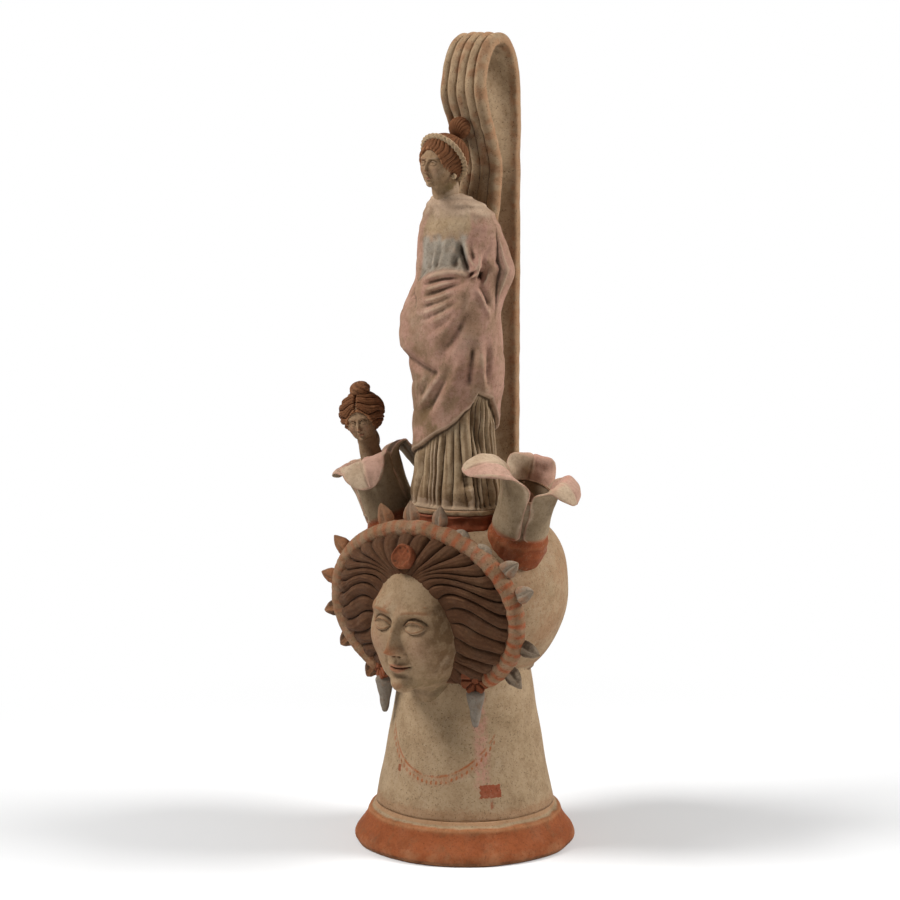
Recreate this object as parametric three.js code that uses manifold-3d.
// A fired-clay figural vessel: a woman's face in a budded diadem on a globe with a flaring foot,
// a three-petalled flower on each shoulder, a bust growing out of one flower, a draped woman
// standing on a plinth, and a tall ribbed strap handle that loops over behind her.
// Millimetres, +Z up. The face looks along -Y, and left means the vessel's own left, +X. The
// pieces are built about the foot's axis, and the origin ends up under the middle of their box.
// Each piece was thrown, moulded or rolled by itself and luted on, so each is a solid of its
// own, one seam away from the piece that carries it.
import * as THREE from "three";
import { mergeVertices } from "three/addons/utils/BufferGeometryUtils.js";
import Module from "manifold-3d";

const wasm = await Module();
wasm.setup();

// Driving sizes.
const seam = 0.3; // between two luted pieces
const overrun = 20; // how far a cutting form runs past what it cuts

const footRadius = 104.5;
const footHeight = 37;
const footWall = 10;
const neckFootRadius = 84.4;
const neckTopRadius = 59;
const neckHeight = 160;
const neckWall = 7;

const globeRadius = 92.5;
const globeCrown = 78; // from the globe's widest level to its flattened top
const globeLevel = 240; // height of that widest level
const globeSetback = 10; // the globe's axis behind the foot's
const globeWall = 7;

const faceHeight = 115; // hairline to chin
const faceSink = 32; // from the globe's front back to the ears
const faceDrop = 17; // eye level below the globe's widest level

const diademHalfWidth = 100.5; // to the middle of the roll
const diademHalfHeight = 78;
const diademRoll = 8.2;
const diademSetback = 19.5; // behind the globe's front
const diademDrop = 9; // below the globe's widest level
const hairFront = 25; // how far the combed hair domes out in front of the roll at the cheeks
const hairBrow = 12; // and how much farther over the brow
const hairBack = 46;
const hairWave = 2.2;

const medallionRadius = 11.5;
const medallionDepth = 8;
const rosetteRadius = 14;
const rosetteDepth = 8;
const rosetteNotch = 0.9;
const pendantLength = 36;
const pendantRadius = 8.5;
const budLength = 22;
const budRadius = 8.4;

const plinthHalfWidth = 46.5;
const plinthHalfDepth = 38;
const plinthForward = 17; // the plinth's axis in front of the foot's
const slabThickness = 5;
const slabLip = 1.5;

const figureHeight = 352; // hem to crown
const figureHalfWidth = 48;
const figureHalfDepth = 37;
const pleatDepth = 1.8;
const foldDepth = 8; // of the deepest folds modelled over her front
const foldWidth = 6;
const hemStep = 4; // how far the mantle stands proud of the skirt
const bodiceSink = 2.5;
const elbowReach = 11;
const swagReach = 9;
const figureFaceHeight = 39; // hairline to chin
const wreathRoll = 2.6;
const figureKnot = 10;
const figureEarring = 2.7;

const strapWidth = 48;
const strapThickness = 9;
const strapRidge = 3.2; // how far its rounded ridges stand out
const strapArchRadius = 27.5; // half the distance between the two strands' middles
const strapArchRise = 48;
const strapArchBehind = 25; // the arch's middle behind the foot's axis
const strapAboveFigure = 84.4; // top of the arch above the figure's crown
const strapRootSpread = 5; // extra half-width where it is pressed onto the shoulders

const cupRadius = 24.5;
const cupHeight = 51;
const cupWall = 4;
const cupOut = 69; // the cup's foot from the middle plane
const cupForward = 15; // and in front of the foot's axis
const cupLean = THREE.MathUtils.degToRad(21);
const cupBow = THREE.MathUtils.degToRad(10);
const petalReach = 60;
const petalHalfWidth = 23;
const petalThickness = 4.2;

const bustFaceHeight = 33; // hairline to chin
const bustRise = 55; // the bust's eye level above the cup's rim
const bustNeck = 10.5;
const bustKnot = 8.5;

// Materials: the fired clay with its slip and its paints.
const clay = (color, roughness) => new THREE.MeshStandardMaterial({ color, roughness, metalness: 0 });
const creamSlip = clay(0xb3a084, 0.92);
const orangePaint = clay(0xb5603a, 0.9);
const hairPaint = clay(0x7d5638, 0.9);
const pinkPaint = clay(0xb68d80, 0.9);
const greySlip = clay(0xa39a8e, 0.92);
const rosePaint = clay(0xb98c78, 0.9);

// Small helps.
const bell = (distance, width) => Math.exp(-((distance / width) ** 2));
const mix = (a, b, t) => a + (b - a) * t;
const { degToRad } = THREE.MathUtils;
const moved = (x, y, z) => new THREE.Matrix4().makeTranslation(x, y, z);
const turnedX = (angle) => new THREE.Matrix4().makeRotationX(angle);
const turnedY = (angle) => new THREE.Matrix4().makeRotationY(angle);
const turnedZ = (angle) => new THREE.Matrix4().makeRotationZ(angle);
const chain = (...steps) => steps.reduce((whole, step) => whole.multiply(step), new THREE.Matrix4());

// A geometry with its corners merged by place alone.
function welded(geometry) {
  const bare = geometry.clone();
  bare.deleteAttribute("normal");
  bare.deleteAttribute("uv");
  return mergeVertices(bare, 1e-4);
}

// A closed geometry as a solid.
function solidOf(geometry) {
  const whole = welded(geometry);
  return new wasm.Manifold(
    new wasm.Mesh({
      numProp: 3,
      vertProperties: whole.attributes.position.array,
      triVerts: new Uint32Array(whole.index.array),
    }),
  );
}

// The largest body of a solid, back as a geometry.
function geometryOf(solid) {
  const largest = solid.decompose().reduce((a, b) => (b.volume() > a.volume() ? b : a));
  const mesh = largest.getMesh();
  const geometry = new THREE.BufferGeometry();
  geometry.setAttribute("position", new THREE.BufferAttribute(mesh.vertProperties, 3));
  geometry.setIndex(new THREE.BufferAttribute(mesh.triVerts, 1));
  geometry.computeVertexNormals();
  return geometry;
}

// What is left of a closed geometry once each of the others is cut from it.
function cut(geometry, ...tools) {
  return geometryOf(tools.reduce((left, tool) => left.subtract(solidOf(tool)), solidOf(geometry)));
}

// A closed geometry that stands a seam proud of another all over.
function grown(geometry) {
  const whole = welded(geometry);
  whole.computeVertexNormals();
  const { position, normal } = whole.attributes;
  for (let i = 0; i < position.array.length; i++) position.array[i] += normal.array[i] * seam;
  return whole;
}

// A surface of revolution about +Z from [radius, height] pairs.
function turned(profile, segments) {
  const points = profile.map(([radius, height]) => new THREE.Vector2(radius, height));
  return new THREE.LatheGeometry(points, segments).rotateX(Math.PI / 2);
}

// A closed skin over rings of equally many points, its faces pointing out. The ends are closed
// round their middles, or on a leaf, whose rings run out and back, from one side to the other.
function loft(rings, leaf = false) {
  const count = rings[0].length;
  const last = (rings.length - 1) * count;
  const points = rings.flat();
  const faces = [];
  for (let start = 0; start < last; start += count)
    for (let j = 0; j < count; j++) {
      const a = start + j;
      const b = start + ((j + 1) % count);
      faces.push(a, b, b + count, a, b + count, a + count);
    }
  const middle = (ring) => ring.reduce((sum, p) => sum.add(p), new THREE.Vector3()).divideScalar(count);
  if (!leaf) points.push(middle(rings[0]), middle(rings[rings.length - 1]));
  for (let j = 0; j < (leaf ? count / 2 - 1 : count); j++) {
    const next = (j + 1) % count;
    const far = count - 1 - j;
    if (leaf) {
      faces.push(next, j, far, next, far, far - 1);
      faces.push(last + j, last + next, last + far, last + far, last + next, last + far - 1);
    } else faces.push(next, j, points.length - 2, last + j, last + next, points.length - 1);
  }
  const volume = faces.reduce((sum, _, i) => {
    if (i % 3) return sum;
    const [a, b, c] = [points[faces[i]], points[faces[i + 1]], points[faces[i + 2]]];
    return sum + a.dot(b.clone().cross(c));
  }, 0);
  const geometry = new THREE.BufferGeometry().setFromPoints(points);
  geometry.setIndex(volume < 0 ? faces.reverse() : faces);
  return geometry;
}

// A ball whose corners are moved by a rule of their direction, crowded towards one side.
function shapedBall(detail, crowding, rule) {
  const ball = new THREE.IcosahedronGeometry(1, detail);
  const { position } = ball.attributes;
  const direction = new THREE.Vector3();
  for (let i = 0; i < position.count; i++) {
    direction.fromBufferAttribute(position, i).normalize().add(crowding).normalize();
    position.setXYZ(i, ...rule(direction).toArray());
  }
  return ball;
}

// The place where a line through a point first meets any of some closed geometries from outside.
function seatOn(carriers, through, heading) {
  const start = through.clone().addScaledVector(heading, -globeRadius - footRadius);
  const skin = new THREE.MeshBasicMaterial({ side: THREE.DoubleSide });
  const hits = carriers.flatMap((carrier) =>
    new THREE.Raycaster(start, heading).intersectObject(new THREE.Mesh(carrier, skin)),
  );
  return hits.reduce((first, hit) => (hit.distance < first.distance ? hit : first)).point;
}

// Foot: a flaring ring with a rounded toe and a moulding under the neck.
const footSegments = 32;
const footOuterShares = [
  [0.83, 0],
  [1, 0.1],
  [0.96, 0.22],
  [0.66, 0.42],
  [0.5, 0.56],
  [0.5, 0.72],
  [0.28, 0.86],
  [0, 1],
];
const footInnerShares = [
  [0, 1],
  [0.35, 0.5],
  [0.83, 0],
];
function footForm() {
  const flare = footRadius - neckFootRadius;
  const side = (shares, inset) =>
    shares.map(([out, up]) => [neckFootRadius + flare * out - inset, footHeight * up]);
  const loop = [...side(footOuterShares, 0), ...side(footInnerShares, footWall)];
  return turned([...loop, loop[0]], footSegments);
}

// Neck: a hollow flaring column whose upper end stands up inside the globe.
const neckBottom = footHeight + seam;
const neckTop = neckBottom + neckHeight;
const neckSegments = 32;
const neckSteps = 4;
const neckFlarePower = 1.25; // above 1, more of the flare lies near the foot
function neckSide(inset) {
  return Array.from({ length: neckSteps + 1 }, (_, i) => {
    const up = i / neckSteps;
    const radius = mix(neckTopRadius, neckFootRadius, (1 - up) ** neckFlarePower);
    return [radius - inset, neckBottom + neckHeight * up];
  });
}
const neckLoop = [...neckSide(0), ...neckSide(neckWall).reverse()];
const neckGeometry = turned([...neckLoop, neckLoop[0]], neckSegments);
const neckRoom = turned(
  [
    [0, neckBottom - overrun],
    [neckFootRadius, neckBottom - overrun],
    ...neckSide(-seam),
    [neckTopRadius + seam, neckTop + seam],
    [0, neckTop + seam],
  ],
  neckSegments,
);

// Globe: round below, fuller in the shoulder and flattened at the crown; open into the neck.
const globeSegments = 32;
const globeRows = 6;
const shoulderPower = 2.6; // 2 is round, more is squarer
const globeFront = globeSetback - globeRadius;
const globeTop = globeLevel + globeCrown;
function globeForm(inset) {
  const profile = [];
  for (let i = -globeRows; i <= globeRows; i++) {
    const turn = (Math.PI / 2) * (i / globeRows);
    const power = i < 0 ? 1 : 2 / shoulderPower;
    const height = (i < 0 ? globeRadius : globeCrown) - inset;
    const out = Math.abs(i) === globeRows ? 0 : Math.cos(turn) ** power;
    profile.push([(globeRadius - inset) * out, Math.sign(i) * height * Math.abs(Math.sin(turn)) ** power]);
  }
  return turned(profile, globeSegments).translate(0, globeSetback, globeLevel);
}
// Height of the globe's upper surface over a place in plan.
function globeSurface(x, y) {
  const out = Math.hypot(x, y - globeSetback) / globeRadius;
  return globeLevel + globeCrown * Math.max(0, 1 - out ** shoulderPower) ** (1 / shoulderPower);
}
const globeRoom = globeForm(-seam);
const globeGeometry = cut(globeForm(0), globeForm(globeWall), neckRoom);

// Heads: ellipsoids melted together, paired ones mirrored in X. Places and sizes are shares of
// the height from hairline to chin, from the point between the ears at eye level.
const headShares = {
  skull: { at: [0, -0.03, 0.12], size: [0.4, 0.47, 0.49] },
  face: { at: [0, -0.17, -0.17], size: [0.345, 0.335, 0.37] },
  cheeks: { at: [0.19, -0.29, -0.11], size: [0.16, 0.16, 0.18] },
  chin: { at: [0, -0.42, -0.47], size: [0.1, 0.09, 0.09] },
  bridge: { at: [0, -0.5, -0.02], size: [0.042, 0.06, 0.13] },
  nose: { at: [0, -0.56, -0.175], size: [0.06, 0.09, 0.075] },
  lips: { at: [0, -0.49, -0.345], size: [0.11, 0.05, 0.055] },
  brows: { at: [0.15, -0.44, 0.1], size: [0.14, 0.05, 0.03] },
  eyes: { at: [0.15, -0.415, 0], size: [0.07, 0.055, 0.045] },
  throat: { at: [0, 0.1, -0.62], size: [0.24, 0.24, 0.4] },
};
const headMeltShare = 0.07;
const headHeartShare = new THREE.Vector3(0, -0.1, -0.12);
const headCrowding = new THREE.Vector3(0, -0.45, -0.1);
function ellipsoidDistance({ at, size }, p, stretch = 1) {
  const offset = [(at[0] ? Math.abs(p.x) : p.x) - at[0], p.y - at[1], p.z - at[2]];
  const wide = [size[0] * stretch, size[1] * stretch, size[2]];
  const reach = Math.hypot(...offset.map((v, i) => v / wide[i]));
  const slope = Math.hypot(...offset.map((v, i) => v / wide[i] ** 2));
  return (reach * (reach - 1)) / Math.max(slope, Number.EPSILON);
}
function melt(a, b, width) {
  const overlap = Math.max(width - Math.abs(a - b), 0) / width;
  return Math.min(a, b) - (overlap * overlap * width) / 4;
}
function headDistance(p, neckStretch) {
  const s = headShares;
  let d = melt(ellipsoidDistance(s.skull, p), ellipsoidDistance(s.face, p), 3 * headMeltShare);
  d = melt(d, ellipsoidDistance(s.cheeks, p), 2 * headMeltShare);
  for (const part of [s.chin, s.lips, s.brows, s.eyes])
    d = melt(d, ellipsoidDistance(part, p), headMeltShare);
  for (const part of [s.bridge, s.nose]) d = melt(d, ellipsoidDistance(part, p), headMeltShare / 2);
  return melt(d, ellipsoidDistance(s.throat, p, neckStretch), 2 * headMeltShare);
}
function headForm(height, detail, neckStretch = 1) {
  const steps = 40;
  return shapedBall(detail, headCrowding, (direction) => {
    const p = headHeartShare.clone();
    for (let i = 0; i < steps; i++) p.addScaledVector(direction, Math.max(0, -headDistance(p, neckStretch)));
    return p.multiplyScalar(height);
  });
}

// The large face, set into the front of the globe over the neck.
const faceSplitCount = 8;
const faceMiddle = new THREE.Vector3(0, globeFront + faceSink, globeLevel - faceDrop);
const largeHead = headForm(faceHeight, faceSplitCount).translate(...faceMiddle.toArray());
const largeHeadRoom = grown(largeHead);
const faceGeometry = cut(largeHead, globeRoom, neckRoom);

// Diadem: a roll bent to three quarters of an ellipse, open below, its top leaning forward.
const diademEnd = degToRad(54); // how far below the level its ends reach
const diademLean = degToRad(9);
const diademSteps = 30;
const diademSegments = 8;
const diademPlace = chain(moved(0, globeFront + diademSetback, globeLevel - diademDrop), turnedX(diademLean));
function diademFrame(angle) {
  return {
    place: new THREE.Vector3(Math.cos(angle) * diademHalfWidth, 0, Math.sin(angle) * diademHalfHeight),
    out: new THREE.Vector3(
      Math.cos(angle) * diademHalfHeight,
      0,
      Math.sin(angle) * diademHalfWidth,
    ).normalize(),
  };
}
function diademForm(margin) {
  const span = Math.PI + 2 * diademEnd;
  const forward = new THREE.Vector3(0, -1, 0);
  const rings = Array.from({ length: diademSteps + 1 }, (_, i) => {
    const { place, out } = diademFrame(-diademEnd + (span * i) / diademSteps);
    return Array.from({ length: diademSegments }, (__, j) => {
      const around = (2 * Math.PI * j) / diademSegments;
      return place
        .clone()
        .addScaledVector(out, Math.cos(around) * (diademRoll + margin))
        .addScaledVector(forward, Math.sin(around) * (diademRoll + margin));
    });
  });
  return loft(rings).applyMatrix4(diademPlace);
}
const diademRoom = diademForm(seam);

// Hair: a dome of locks combed from a parting to both sides and back to the roll, cut off level
// below the ears. Its rings run from the front to the back, in shares of a quarter turn, and each
// sweep of the locks has its place, its reach and its turn in shares of half a turn.
const hairLockCount = 34;
const hairRingShares = [0.12, 0.27, 0.36, 0.44, 0.52, 0.6, 0.68, 0.76, 0.84, 0.92, 1, 1.35, 1.7];
const hairSweepShares = [
  [0.36, 0.25, 0.26],
  [0.68, 0.16, -0.06],
];
const hairHeartShare = 0.48; // of the way out, inside which the locks run straight
const hairWaverShare = 0.03;
const hairWaverCount = 4;
const hairPartingPower = 0.3; // lower lets the locks sweep nearer to the parting
const hairBrowShare = 0.8; // of the diadem's half-height, where the brow's fullness is reached
const hairTuckShare = 0.4; // of the roll's radius, how far the hair reaches into it
const hairHemShare = 0.86; // of the diadem's half-height, the hair's lower edge below its middle
// Where a lock lies, in shares of half a turn from the parting, by where it meets the roll.
function lockTurn(end, out) {
  const place = Math.abs(end);
  const along = Math.max(out, hairHeartShare);
  const inner = 1 - THREE.MathUtils.smoothstep(along, hairHeartShare, 1);
  const sweep = hairSweepShares.reduce((sum, [at, reach, by]) => sum + by * bell(place - at, reach), 0);
  const waver = hairWaverShare * Math.sin(Math.PI * hairWaverCount * (along + place)) * (1 - along);
  const free = Math.sin(Math.PI * place) ** hairPartingPower;
  return end - Math.sign(end) * free * (sweep * inner + waver);
}
function hairForm() {
  const halfWidth = diademHalfWidth - diademRoll * hairTuckShare;
  const halfHeight = diademHalfHeight - diademRoll * hairTuckShare;
  const rings = hairRingShares.map((share) => {
    const tilt = (Math.PI / 2) * share;
    const out = Math.sin(tilt);
    return Array.from({ length: 2 * hairLockCount }, (_, j) => {
      const turn = Math.PI * lockTurn(j / hairLockCount - 1, share < 1 ? out : 1);
      const d = new THREE.Vector3(Math.sin(turn) * out, -Math.cos(tilt), Math.cos(turn) * out);
      const brow = hairBrow * THREE.MathUtils.smoothstep(d.z, 0, hairBrowShare);
      const comb = (j % 2 ? 1 : -1) * (share > 1 ? 0 : THREE.MathUtils.smoothstep(out, 0, 1));
      const depth = d.y < 0 ? hairFront + brow : hairBack;
      const skin = new THREE.Vector3(d.x * halfWidth, d.y * depth, d.z * halfHeight);
      return skin.addScaledVector(d, hairWave * comb);
    });
  });
  return loft(rings).applyMatrix4(diademPlace);
}
function belowHairHem() {
  const hem = globeLevel - diademDrop - diademHalfHeight * hairHemShare;
  return new THREE.BoxGeometry(4 * diademHalfWidth, 4 * globeRadius, diademHalfHeight).translate(
    0,
    0,
    hem - diademHalfHeight / 2,
  );
}
const hairSkin = hairForm();
const hairRoom = grown(hairSkin);

// Brow medallion: a round-edged disc where the parting meets the diadem.
const medallionTilt = degToRad(-22);
const hairlineShare = 0.44; // of the face's height, above eye level
const medallionUpShare = 0.39; // of the way from the hairline to the roll
const medallionSinkShare = 0.05; // of its depth, how far its back edge is pressed in
const backward = new THREE.Vector3(0, 1, 0);
const discShares = [
  [0, -0.75],
  [0.86, -0.75],
  [1, 0.25],
  [1, 0.75],
  [0.86, 1],
  [0, 1.05],
];
function medallionForm() {
  const profile = discShares.map(([out, up]) => [medallionRadius * out, medallionDepth * up]);
  const hairline = faceMiddle.z + faceHeight * hairlineShare;
  const roll = globeLevel - diademDrop + (diademHalfHeight - diademRoll) * Math.cos(diademLean);
  const through = new THREE.Vector3(0, 0, mix(hairline, roll, medallionUpShare));
  const seat = seatOn([hairSkin, largeHead], through, backward);
  seat.y += medallionDepth * medallionSinkShare;
  return turned(profile, 20)
    .applyMatrix4(turnedX(Math.PI / 2 + medallionTilt))
    .translate(...seat.toArray());
}

// Ear ornaments: an eight-petalled rosette and the drop that hangs under it.
const earShares = { x: 0.866, z: 0.951 }; // of the place of the roll's end
const earForwardShare = 0.05; // of the face's height, in front of its middle
const earTurn = degToRad(32);
const rosettePetalCount = 8;
const rosetteSegments = 32;
const rosetteFaceShare = 0.8;
const rosetteShoulderShare = 0.7;
const pendantShares = [
  [0, 1],
  [0.35, 0.94],
  [0.8, 0.55],
  [1, 0.2],
  [0.8, 0],
  [0, 0],
];
const pendantHangShare = 0.7; // of the rosette's radius, the drop's top below its middle
const pendantBellyShare = 0.8; // of the drop's length, where its widest part is
const rosetteSinkShare = 0.25; // of the rosette's depth, pressed into what carries it
const pendantProudShare = 0.5; // of the drop's radius, its axis in front of the neck
const earCarriers = [largeHead, hairSkin, globeForm(0), neckGeometry];
const [earX, earZ] = [
  diademHalfWidth * Math.cos(diademEnd) * earShares.x,
  globeLevel - diademDrop - diademHalfHeight * Math.sin(diademEnd) * earShares.z,
];
function earSeat(side) {
  const heading = backward.clone().applyAxisAngle(new THREE.Vector3(0, 0, 1), side * earTurn);
  const through = new THREE.Vector3(side * earX, faceMiddle.y - faceHeight * earForwardShare, earZ);
  return seatOn(earCarriers, through, heading).addScaledVector(heading, rosetteDepth * rosetteSinkShare);
}
function earPlace(side) {
  return chain(moved(...earSeat(side).toArray()), turnedZ(side * earTurn));
}
function rosetteForm(side, margin) {
  const rows = [
    [-margin, 1],
    [rosetteDepth * rosetteShoulderShare + margin, 1],
    [rosetteDepth + margin, rosetteFaceShare],
  ];
  const rings = rows.map(([proud, share]) =>
    Array.from({ length: rosetteSegments }, (_, j) => {
      const around = (2 * Math.PI * j) / rosetteSegments;
      const radius = rosetteRadius * share + rosetteNotch * Math.cos(around * rosettePetalCount) + margin;
      return new THREE.Vector3(Math.cos(around) * radius, -proud, Math.sin(around) * radius);
    }),
  );
  return loft(rings).applyMatrix4(earPlace(side));
}
function pendantForm(side) {
  const seat = earSeat(side);
  const top = seat.z - rosetteRadius * pendantHangShare;
  const belly = new THREE.Vector3(seat.x, 0, top - pendantLength * pendantBellyShare);
  const proud = seatOn(earCarriers, belly, backward).y - pendantRadius * pendantProudShare;
  const profile = pendantShares.map(([out, down]) => [pendantRadius * out, top - pendantLength * down]);
  return turned(profile, 12).translate(seat.x, Math.min(seat.y, proud), 0);
}

// Buds: points standing out of the roll, round from its end at the wearer's left. Two wider gaps
// show that buds were lost, and two more buds are broken off near the root.
const budTurnAngles = [-37, -17, 16, 32, 49, 64, 78, 95, 111, 147, 168, 188, 207, 229]; // degrees
const budStumpNumbers = [5, 6];
const budStumpShare = 0.36; // of a bud's length
const budSeatShare = 0.55; // of the roll's radius, the bud's root out from its middle
const budBackShare = 0.45; // and behind it
const budFlatShare = 0.75;
const budShares = [
  [0, 0],
  [0.7, 0],
  [1, 0.3],
  [0.85, 0.55],
  [0.4, 0.87],
  [0, 1],
];
function budForm(turn, length) {
  const { place, out } = diademFrame(degToRad(turn));
  const profile = budShares.map(([wide, up]) => [budRadius * wide, length * up]);
  const root = place.clone().addScaledVector(out, diademRoll * budSeatShare);
  return turned(profile, 8)
    .scale(1, budFlatShare, 1)
    .applyMatrix4(turnedY(Math.PI / 2 - Math.atan2(out.z, out.x)))
    .translate(root.x, diademRoll * budBackShare, root.z)
    .applyMatrix4(diademPlace);
}

// Plinth: an oval collar fitted to the globe's crown, with the figure's base slab on it.
const plinthSegments = 32;
const slabBottom = globeTop + seam;
const slabTop = slabBottom + slabThickness;
function ovalDisc(lip, bottom, top) {
  return new THREE.CylinderGeometry(1, 1, top - bottom, plinthSegments)
    .rotateX(Math.PI / 2)
    .scale(plinthHalfWidth + lip, plinthHalfDepth + lip, 1)
    .translate(0, -plinthForward, (top + bottom) / 2);
}
const plinthRoom = ovalDisc(slabLip + seam, globeLevel, slabTop + seam);

// Figure: a pleated skirt and a mantle drawn round hips and arms, up to the neck socket. Each
// row is height, half-width, half-depth, shift in X and shift in Y, as shares of her sizes.
const figureShares = [
  [0, 0.98, 0.97, 0, 0],
  [0.03, 1, 0.98, 0, 0],
  [0.1, 0.94, 0.93, 0, 0.02],
  [0.19, 0.9, 0.9, 0, 0.04],
  [0.27, 0.91, 0.91, 0, 0.08],
  [0.33, 0.97, 0.95, 0, 0.12],
  [0.39, 0.98, 0.97, -0.01, 0.1],
  [0.45, 0.96, 0.96, -0.02, 0.06],
  [0.5, 0.93, 0.93, -0.03, 0.08],
  [0.56, 0.91, 0.88, -0.02, 0.16],
  [0.62, 0.91, 0.86, -0.01, 0.22],
  [0.68, 0.89, 0.84, -0.02, 0.24],
  [0.73, 0.85, 0.8, -0.03, 0.26],
  [0.765, 0.76, 0.72, -0.04, 0.24],
  [0.79, 0.63, 0.6, -0.07, 0.18],
  [0.81, 0.43, 0.45, -0.12, 0.08],
  [0.82, 0.28, 0.33, -0.15, 0.02],
];
const figureBase = slabTop + seam;
const figureY = -plinthForward;
const figureSteps = 40;
const figureSegments = 64;
const figurePleatCount = 13;
const fullTurn = 360;
const degreeLength = degToRad((figureHalfWidth + figureHalfDepth) / 2); // along her waist
const figureTopShare = figureShares[figureShares.length - 1][0];
// The mantle's hem: degrees round her from the front towards her left, and its height there.
const mantleHemShares = [
  [-180, 0.176],
  [-120, 0.142],
  [-75, 0.131],
  [-30, 0.159],
  [-1, 0.196],
  [15, 0.213],
  [28, 0.233],
  [39, 0.259],
  [47, 0.267],
  [56, 0.307],
  [68, 0.298],
  [82, 0.29],
  [96, 0.259],
  [110, 0.216],
  [140, 0.193],
  [180, 0.176],
];
// The main folds over her front. Each has its depth, where a groove's is below 0, its width, and
// then its course in degrees round her and height.
const foldShares = [
  [-1, 0.833, [26, 0.705], [34, 0.653], [42, 0.614]],
  [-1, 1, [50, 0.625], [67, 0.608]],
  [0.375, 0.833, [-36, 0.591], [-13, 0.608], [7, 0.619], [34, 0.616], [49, 0.602]],
  [0.25, 0.833, [44, 0.594], [4, 0.554], [-26, 0.54]],
  [-0.3, 0.75, [35, 0.58], [10, 0.548], [-25, 0.523]],
  [0.25, 0.833, [45, 0.588], [14, 0.506], [-16, 0.474]],
  [-0.625, 0.833, [39, 0.526], [22, 0.44], [9, 0.378]],
  [-0.625, 0.833, [-60, 0.389], [-36, 0.378], [-1, 0.358], [9, 0.375]],
  [0.4, 0.833, [15, 0.375], [-19, 0.278], [-40, 0.239]],
  [-0.425, 0.833, [16, 0.369], [-9, 0.278], [-31, 0.239]],
  [0.3, 1.333, [39, 0.429], [9, 0.298], [-15, 0.227]],
  [-0.45, 0.75, [55, 0.446], [44, 0.355], [42, 0.312]],
  [0.35, 0.833, [59, 0.446], [62, 0.341], [68, 0.307]],
  [-0.3, 0.75, [72, 0.446], [66, 0.338], [68, 0.318]],
  [-1, 1.083, [59, 0.301], [56, 0.227], [61, 0.145]],
  [-0.625, 1, [45, 0.099], [47, 0.051]],
  [-0.625, 0.75, [32, 0.102], [35, 0.02]],
  [-0.625, 0.833, [73, 0.094], [79, 0.026]],
  [-0.6, 0.75, [40, 0.253], [37, 0.222], [44, 0.136]],
  [-0.5, 0.833, [80, 0.287], [94, 0.227]],
  [-0.45, 0.75, [27, 0.224], [30, 0.116]],
  [-0.425, 0.75, [9, 0.188], [-8, 0.017]],
  [-0.35, 0.75, [-2, 0.179], [-17, 0.043]],
  [-0.35, 0.75, [-15, 0.165], [-30, 0.06]],
];
const hemSoftShare = 0.008;
const bodiceShares = { height: 0.7, spread: 0.095 };
const bodiceSpan = 38; // degrees to either side of the front
const elbowShares = { height: 0.625, spread: 0.07 };
const swagShares = { foot: 0.385, full: 0.42, fade: 0.49, head: 0.61 }; // full between two of them
const elbowSide = degToRad(18);
const swagSide = degToRad(205);
const reachSpread = degToRad(34); // how far round her the elbow and the swag spread
const figureRowPower = 0.9; // below 1, the rows crowd towards the shoulders
function figureRow(share) {
  const next = Math.max(1, figureShares.findIndex((row) => row[0] >= share));
  const [low, high] = [figureShares[next - 1], figureShares[next]];
  const t = THREE.MathUtils.smoothstep(share, low[0], high[0]);
  return low.map((value, column) => mix(value, high[column], t));
}
function hemAt(turn) {
  const next = Math.max(1, mantleHemShares.findIndex(([degrees]) => degrees >= turn));
  const [a, b] = [mantleHemShares[next - 1], mantleHemShares[next]];
  return mix(a[1], b[1], (turn - a[0]) / (b[0] - a[0]));
}
// How far the main folds stand out at a place on her, in degrees round her and height.
function foldsAt(turn, share) {
  const flat = ([degrees, up]) => new THREE.Vector3(degrees * degreeLength, up * figureHeight, 0);
  const spot = flat([turn, share]);
  const nearest = new THREE.Vector3();
  return foldShares.reduce((sum, [depth, width, ...course]) => {
    let away = figureHeight;
    for (let i = 1; i < course.length; i++) {
      new THREE.Line3(flat(course[i - 1]), flat(course[i])).closestPointToPoint(spot, true, nearest);
      away = Math.min(away, nearest.distanceTo(spot));
    }
    return sum + foldDepth * depth * bell(away, foldWidth * width);
  }, 0);
}
function figureForm(margin) {
  const { smoothstep } = THREE.MathUtils;
  const rings = Array.from({ length: figureSteps + 1 }, (_, i) => {
    const share = figureTopShare * (i / figureSteps) ** figureRowPower;
    const [, wide, deep, shiftX, shiftY] = figureRow(share);
    return Array.from({ length: figureSegments }, (__, j) => {
      const around = (2 * Math.PI * j) / figureSegments;
      const turn = (((j / figureSegments + 3 / 4) * fullTurn) % fullTurn) - fullTurn / 2;
      const below = 1 - smoothstep(share - hemAt(turn), -hemSoftShare, hemSoftShare);
      const pleats = below * pleatDepth * Math.cos(around * figurePleatCount);
      const bodice = bell(turn, bodiceSpan) * bell(share - bodiceShares.height, bodiceShares.spread);
      const elbow = elbowReach * bell(share - elbowShares.height, elbowShares.spread);
      const { foot, full, fade, head } = swagShares;
      const swag = swagReach * smoothstep(share, foot, full) * (1 - smoothstep(share, fade, head));
      const out =
        margin +
        (i && i < figureSteps ? pleats + foldsAt(turn, share) : 0) -
        hemStep * below -
        bodiceSink * bodice +
        elbow * bell(around - elbowSide, reachSpread) +
        swag * bell(around - swagSide, reachSpread);
      return new THREE.Vector3(
        figureHalfWidth * shiftX + Math.cos(around) * (figureHalfWidth * wide + out),
        figureY + figureHalfDepth * shiftY + Math.sin(around) * (figureHalfDepth * deep + out),
        figureBase + figureHeight * share + (i === figureSteps ? margin : 0),
      );
    });
  });
  return loft(rings);
}
const figureRoom = figureForm(seam);

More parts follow.
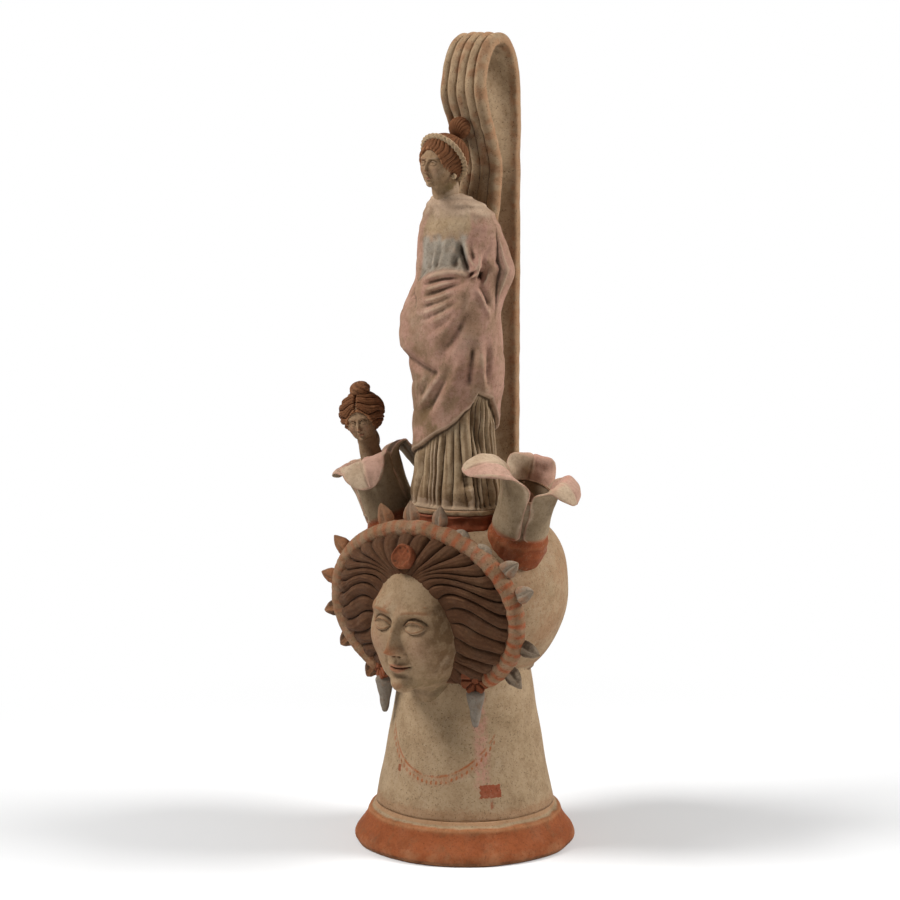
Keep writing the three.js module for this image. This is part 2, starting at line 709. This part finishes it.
// Small heads: a head on its neck, a cap of hair round the face, a wreath and a knot.
const smallHeadSplitCount = 4;
const smallNeckStretchShare = 1.35;
const hairCapSplitCount = 3;
const hairCapCurlShare = 0.04;
const faceOpeningShares = { size: [0.37, 0.8, 0.5], at: [0, -0.8, -0.15] };
function hairCapForm(height, capShares) {
  const { size, at, lobes } = capShares;
  return shapedBall(hairCapSplitCount, new THREE.Vector3(), (d) => {
    const curl = 1 + hairCapCurlShare * Math.cos(Math.atan2(d.z, d.y) * lobes);
    return new THREE.Vector3(...d.toArray().map((v, i) => v * size[i] * curl + at[i])).multiplyScalar(height);
  });
}
function faceOpening(height) {
  const { size, at } = faceOpeningShares;
  return new THREE.SphereGeometry(height, 16, 12)
    .scale(...size)
    .translate(...at.map((share) => share * height));
}

const figureHeadShares = { x: -0.18, y: -0.2 }; // from her axis, of her half-sizes
const figureChinShare = 0.838;
const chinShare = 0.56; // of the face height, the chin below eye level
const figureHeadTurn = degToRad(-8);
const figureHeadPlace = chain(
  moved(
    figureHalfWidth * figureHeadShares.x,
    figureY + figureHalfDepth * figureHeadShares.y,
    figureBase + figureHeight * figureChinShare + figureFaceHeight * chinShare,
  ),
  turnedZ(figureHeadTurn),
);
const figureCapShares = { size: [0.53, 0.56, 0.55], at: [0, 0.09, 0.14], lobes: 11 };
const wreathShares = { radius: 0.6, y: 0.05, z: 0.13 };
const wreathTilt = degToRad(-58); // over the brow and down behind the ears
const figureKnotShares = { x: 0.08, y: 0.52, z: 0.82 };
const figureEarShares = { x: 0.42, y: -0.06, z: -0.3 };
const figureHead = headForm(figureFaceHeight, smallHeadSplitCount, smallNeckStretchShare);
figureHead.applyMatrix4(figureHeadPlace);
const figureHeadRoom = grown(figureHead);
const figureCap = hairCapForm(figureFaceHeight, figureCapShares).applyMatrix4(figureHeadPlace);
const figureCapRoom = grown(figureCap);
function wreathForm(margin) {
  const { radius, y, z } = wreathShares;
  return new THREE.TorusGeometry(figureFaceHeight * radius, wreathRoll + margin, 6, 28)
    .applyMatrix4(chain(moved(0, figureFaceHeight * y, figureFaceHeight * z), turnedX(wreathTilt)))
    .applyMatrix4(figureHeadPlace);
}
function figureKnotForm() {
  const { x, y, z } = figureKnotShares;
  return new THREE.SphereGeometry(figureKnot, 12, 8)
    .applyMatrix4(moved(figureFaceHeight * x, figureFaceHeight * y, figureFaceHeight * z))
    .applyMatrix4(figureHeadPlace);
}
function earringForm(side) {
  const { x, y, z } = figureEarShares;
  return new THREE.SphereGeometry(figureEarring, 10, 6)
    .applyMatrix4(moved(side * figureFaceHeight * x, figureFaceHeight * y, figureFaceHeight * z))
    .applyMatrix4(figureHeadPlace);
}

// Handle: a strap ridged on its outer side, up from the figure's shoulders, over in a tall
// arch and straight down to the back of the globe.
const strapRidgeCount = 5;
const strapRidgePointCount = 3;
const strapArchSteps = 8;
const strapFallSteps = 5;
const strapSpanRingCount = 2;
const strapEdgeShares = { upper: 0.5, lower: 0.6, inset: 0.5 }; // of half the strap's thickness
const strapRootSpanCount = 1.5; // the spread root dies out over this many spans of the path
const archTop = figureBase + figureHeight + strapAboveFigure;
const archLevel = archTop - strapArchRise - strapThickness / 2 - strapRidge;
const shoulderShare = 0.79;
const shoulderLevel = figureBase + figureHeight * shoulderShare;
// The rise from the shoulders: how far back of the front strand, and how far up to the arch.
const strapRiseShares = [
  [0.2, -0.22],
  [0.33, 0.06],
  [0.45, 0.33],
  [0.36, 0.53],
  [0.15, 0.8],
];
// The fall behind: how far back of the rear strand, and how far down to the globe.
const strapFallShares = [
  [0, 0.25],
  [0, 0.5],
  [0, 0.78],
  [0.04, 0.93],
  [0.18, 1.04],
];
function strapPath() {
  const apart = 2 * strapArchRadius;
  const frontY = strapArchBehind - strapArchRadius;
  const backY = strapArchBehind + strapArchRadius;
  const points = strapRiseShares.map(
    ([back, up]) => new THREE.Vector3(0, frontY + apart * back, mix(shoulderLevel, archLevel, up)),
  );
  for (let i = 0; i <= strapArchSteps; i++) {
    const turn = Math.PI * (1 - i / strapArchSteps);
    const y = strapArchBehind + strapArchRadius * Math.cos(turn);
    points.push(new THREE.Vector3(0, y, archLevel + strapArchRise * Math.sin(turn)));
  }
  for (const [back, down] of strapFallShares)
    points.push(new THREE.Vector3(0, backY + apart * back, mix(archLevel, globeSurface(0, backY), down)));
  return new THREE.CatmullRomCurve3(points, false, "centripetal");
}
function strapSection(halfWidth, margin) {
  const pitch = (2 * halfWidth) / strapRidgeCount;
  const half = strapThickness / 2;
  const section = [];
  for (let k = 0; k < strapRidgeCount * strapRidgePointCount; k++) {
    const middle = -halfWidth + pitch * (Math.floor(k / strapRidgePointCount) + 0.5);
    const turn = (Math.PI * ((k % strapRidgePointCount) + 0.5)) / strapRidgePointCount;
    section.push([middle - (Math.cos(turn) * pitch) / 2, half + Math.sin(turn) * strapRidge + margin]);
  }
  const edge = halfWidth + margin;
  const { upper, lower, inset } = strapEdgeShares;
  const sides = [
    [edge, half * upper],
    [edge, -half * lower],
    [edge - half * inset, -half - margin],
  ];
  return [...section, ...sides, ...sides.reverse().map(([u, v]) => [-u, v])];
}
function strapForm(margin) {
  const path = strapPath();
  const rings = [];
  const spans = path.points.length - 1;
  for (let i = 0; i <= spans * strapSpanRingCount; i++) {
    const t = i / (spans * strapSpanRingCount);
    const along = path.getTangent(t);
    const out = new THREE.Vector3(0, -along.z, along.y);
    const spread = strapRootSpread * bell(t, strapRootSpanCount / spans);
    const place = path.getPoint(t);
    rings.push(
      strapSection(strapWidth / 2 + spread, margin).map(([u, v]) =>
        place.clone().addScaledVector(out, v).setX(u),
      ),
    );
  }
  return loft(rings);
}
const strapRoom = strapForm(seam);

// Flowers: a hollow cup seated on each shoulder, with three petals curling off its rim.
const cupSegments = 24;
const cupShares = [
  [0, -0.75],
  [0.5, -0.75],
  [1.08, -0.3],
  [1.16, 0],
  [1.04, 0.25],
  [1, 0.6],
  [1.05, 1],
];
const cupFloorShare = 0.3;
const cupFloor = cupHeight * cupFloorShare;
const rimRadius = cupRadius * cupShares[cupShares.length - 1][0];
function cupPlace(side) {
  const [x, y] = [side * cupOut, -cupForward];
  return chain(moved(x, y, globeSurface(x, y)), turnedX(cupBow), turnedY(side * cupLean));
}
function cupForm(side) {
  const profile = cupShares.map(([out, up]) => [cupRadius * out, cupHeight * up]);
  return turned([...profile, [0, cupHeight]], cupSegments).applyMatrix4(cupPlace(side));
}
function cupHollow(side) {
  const profile = [
    [0, cupFloor],
    [cupRadius - 2 * cupWall, cupFloor],
    [cupRadius - cupWall, cupFloor + cupWall],
    [rimRadius - cupWall, cupHeight],
    [rimRadius - cupWall, cupHeight + overrun],
    [0, cupHeight + overrun],
  ];
  return turned(profile, cupSegments).applyMatrix4(cupPlace(side));
}
// Each petal: its turn from the vessel's side, then the reach and rise of its crest and of its
// tip as shares of the petals' reach.
const petalShares = {
  left: [
    [10, 0.48, 0.32, 0.8, 0.1],
    [125, 0.5, 0.34, 0.64, 0.2],
    [240, 0.72, 0.5, 1.22, 0.38],
  ],
  right: [
    [10, 0.5, 0.3, 0.8, 0.16],
    [125, 0.58, 0.33, 0.72, -0.25],
    [240, 0.63, 0.3, 0.9, -0.13],
  ],
};
const petalSteps = 7;
const petalColumnCount = 5;
const petalRootSpan = degToRad(57); // half of the rim that a petal covers
const petalTipSpan = degToRad(16);
const petalTipThinShare = 0.6;
const petalTipWidthShare = 0.22;
const petalFlattenShare = 0.6; // of the petal's length, where its hollow has flattened out
const petalRoot = rimRadius - cupWall / 2;
// Points of the curl: how far from root to crest, or crest to tip, in reach and in rise.
const petalClimbShares = [
  [0, 0],
  [0.1, 0.45],
  [0.4, 0.85],
  [1, 1],
];
const petalDroopShares = [
  [0.65, 0.35],
  [1, 1],
];
function petalPath(crestReach, crestRise, tipReach, tipRise) {
  const crest = [petalReach * crestReach, petalReach * crestRise];
  const tip = [petalReach * tipReach, petalReach * tipRise];
  const along = (from, to) => ([reach, rise]) =>
    new THREE.Vector3(mix(from[0], to[0], reach), 0, cupHeight + seam + mix(from[1], to[1], rise));
  return new THREE.CatmullRomCurve3([
    ...petalClimbShares.map(along([petalRoot, 0], crest)),
    ...petalDroopShares.map(along(crest, tip)),
  ]);
}
function petalForm(side, [turn, ...shares]) {
  const path = petalPath(...shares);
  const rings = [];
  for (let i = 0; i <= petalSteps; i++) {
    const t = i / petalSteps;
    const place = path.getPoint(t);
    const along = path.getTangent(t);
    const out = new THREE.Vector3(along.z, 0, -along.x);
    const flat = Math.min(1, t / petalFlattenShare);
    const span = mix(petalRootSpan, petalTipSpan, flat);
    const width = mix(petalRoot * Math.sin(petalRootSpan), petalHalfWidth, flat);
    const half = width * mix(petalTipWidthShare, 1, Math.sqrt(1 - t ** 3));
    const radius = half / Math.sin(span);
    const thick = (petalThickness / 2) * (i === petalSteps ? petalTipThinShare : 1);
    const edge = (level) =>
      Array.from({ length: petalColumnCount + 1 }, (_, k) => {
        const angle = span * (-1 + (2 * k) / petalColumnCount) * level;
        const sag = radius * (Math.cos(angle) - 1) + level * thick * Math.cos(angle);
        const across = (radius + level * thick) * Math.sin(angle);
        return place.clone().addScaledVector(out, sag).setY(across);
      });
    rings.push([...edge(1), ...edge(-1)]);
  }
  const angle = side > 0 ? degToRad(turn) : Math.PI - degToRad(turn);
  return loft(rings, true).rotateZ(angle).applyMatrix4(cupPlace(side));
}

// Bust: a long neck rising out of the right cup, its hair rolled high and knotted.
const bustStraighten = degToRad(12); // the bust stands nearer upright than its cup
const bustTurn = degToRad(22);
const bustCapShares = { size: [0.6, 0.58, 0.62], at: [0, 0.1, 0.22], lobes: 9 };
const bustKnotShares = { x: 0.1, y: 0.1, z: 0.86 };
const bustNeckShares = [
  [1.3, 0],
  [1.25, 0.3],
  [1, 0.6],
  [0.9, 0.85],
];
const bustStand = chain(cupPlace(-1), moved(0, 0, cupHeight), turnedY(bustStraighten));
const bustPlace = chain(bustStand, moved(0, 0, bustRise), turnedZ(bustTurn));
function bustForm() {
  const head = headForm(bustFaceHeight, smallHeadSplitCount, smallNeckStretchShare).applyMatrix4(bustPlace);
  const foot = cupFloor - cupHeight - bustNeck / 2; // cut back to the cup's floor below
  const profile = bustNeckShares.map(([out, up]) => [bustNeck * out, mix(foot, bustRise, up)]);
  const neck = turned([[0, foot], ...profile, [0, bustRise]], 16).applyMatrix4(bustStand);
  const cup = grown(cut(cupForm(-1), cupHollow(-1)));
  return cut(geometryOf(solidOf(head).add(solidOf(neck))), cup);
}
const bustSkin = bustForm();
const bustCap = hairCapForm(bustFaceHeight, bustCapShares).applyMatrix4(bustPlace);
function bustKnotForm() {
  const { x, y, z } = bustKnotShares;
  return new THREE.SphereGeometry(bustKnot, 12, 8)
    .applyMatrix4(moved(bustFaceHeight * x, bustFaceHeight * y, bustFaceHeight * z))
    .applyMatrix4(bustPlace);
}

// Assembly: one named mesh for each piece.
const vessel = new THREE.Group();
function add(name, geometry, material) {
  const mesh = new THREE.Mesh(geometry, material);
  mesh.name = name;
  vessel.add(mesh);
}
add("foot_ring", footForm(), orangePaint);
add("neck_wall", neckGeometry, creamSlip);
add("globe_body", globeGeometry, creamSlip);
add("face_mask", faceGeometry, creamSlip);
add(
  "hair_mass",
  cut(hairSkin, globeRoom, largeHeadRoom, diademRoom, neckRoom, belowHairHem()),
  hairPaint,
);
add("diadem_roll", diademForm(0), rosePaint);
add("brow_medallion", cut(medallionForm(), hairRoom, largeHeadRoom), orangePaint);
budTurnAngles.forEach((turn, i) => {
  const number = String(i + 1).padStart(2, "0");
  const length = budStumpNumbers.includes(i + 1) ? budLength * budStumpShare : budLength;
  add(`diadem_bud_${number}`, cut(budForm(turn, length), diademRoom, globeRoom), greySlip);
});
add("plinth_collar", cut(ovalDisc(0, globeLevel, globeTop), globeRoom, hairRoom), orangePaint);
add("plinth_slab", ovalDisc(slabLip, slabBottom, slabTop), creamSlip);
add("figure_body", figureForm(0), pinkPaint);
add("figure_head", cut(figureHead, figureRoom), creamSlip);
add(
  "figure_hair",
  cut(figureCap, figureHeadRoom, figureRoom, faceOpening(figureFaceHeight).applyMatrix4(figureHeadPlace)),
  hairPaint,
);
add("figure_wreath", cut(wreathForm(0), figureCapRoom, figureHeadRoom), greySlip);
add("figure_knot", cut(figureKnotForm(), figureCapRoom, wreathForm(seam), strapRoom), hairPaint);
add("handle_strap", cut(strapForm(0), globeRoom, figureRoom), creamSlip);
const earRooms = [largeHeadRoom, hairRoom, globeRoom, neckRoom, diademRoom];
for (const [side, label] of [
  [1, "left"],
  [-1, "right"],
]) {
  const [ear, drop] = [rosetteForm(side, 0), pendantForm(side)];
  add(`ear_rosette_${label}`, cut(ear, ...earRooms), orangePaint);
  add(`ear_pendant_${label}`, cut(drop, rosetteForm(side, seam), ...earRooms), greySlip);
  add(`figure_earring_${label}`, cut(earringForm(side), figureHeadRoom, figureCapRoom), hairPaint);
  const cupSolid = cut(cupForm(side), cupHollow(side), globeRoom, diademRoom, hairRoom, plinthRoom);
  add(`flower_cup_${label}`, cupSolid, creamSlip);
  petalShares[label].forEach((shares, i) =>
    add(
      `flower_petal_${label}_${i + 1}`,
      cut(petalForm(side, shares), figureRoom, globeRoom, diademRoom),
      pinkPaint,
    ),
  );
}
add("bust_head", bustSkin, creamSlip);
add(
  "bust_hair",
  cut(bustCap, grown(bustSkin), faceOpening(bustFaceHeight).applyMatrix4(bustPlace)),
  hairPaint,
);
add("bust_knot", cut(bustKnotForm(), grown(bustCap)), hairPaint);

// The origin: on the ground, under the middle of the whole vessel's box.
const box = new THREE.Box3().setFromObject(vessel);
const middle = box.getCenter(new THREE.Vector3());
vessel.position.set(-middle.x, -middle.y, -box.min.z);

export default vessel;
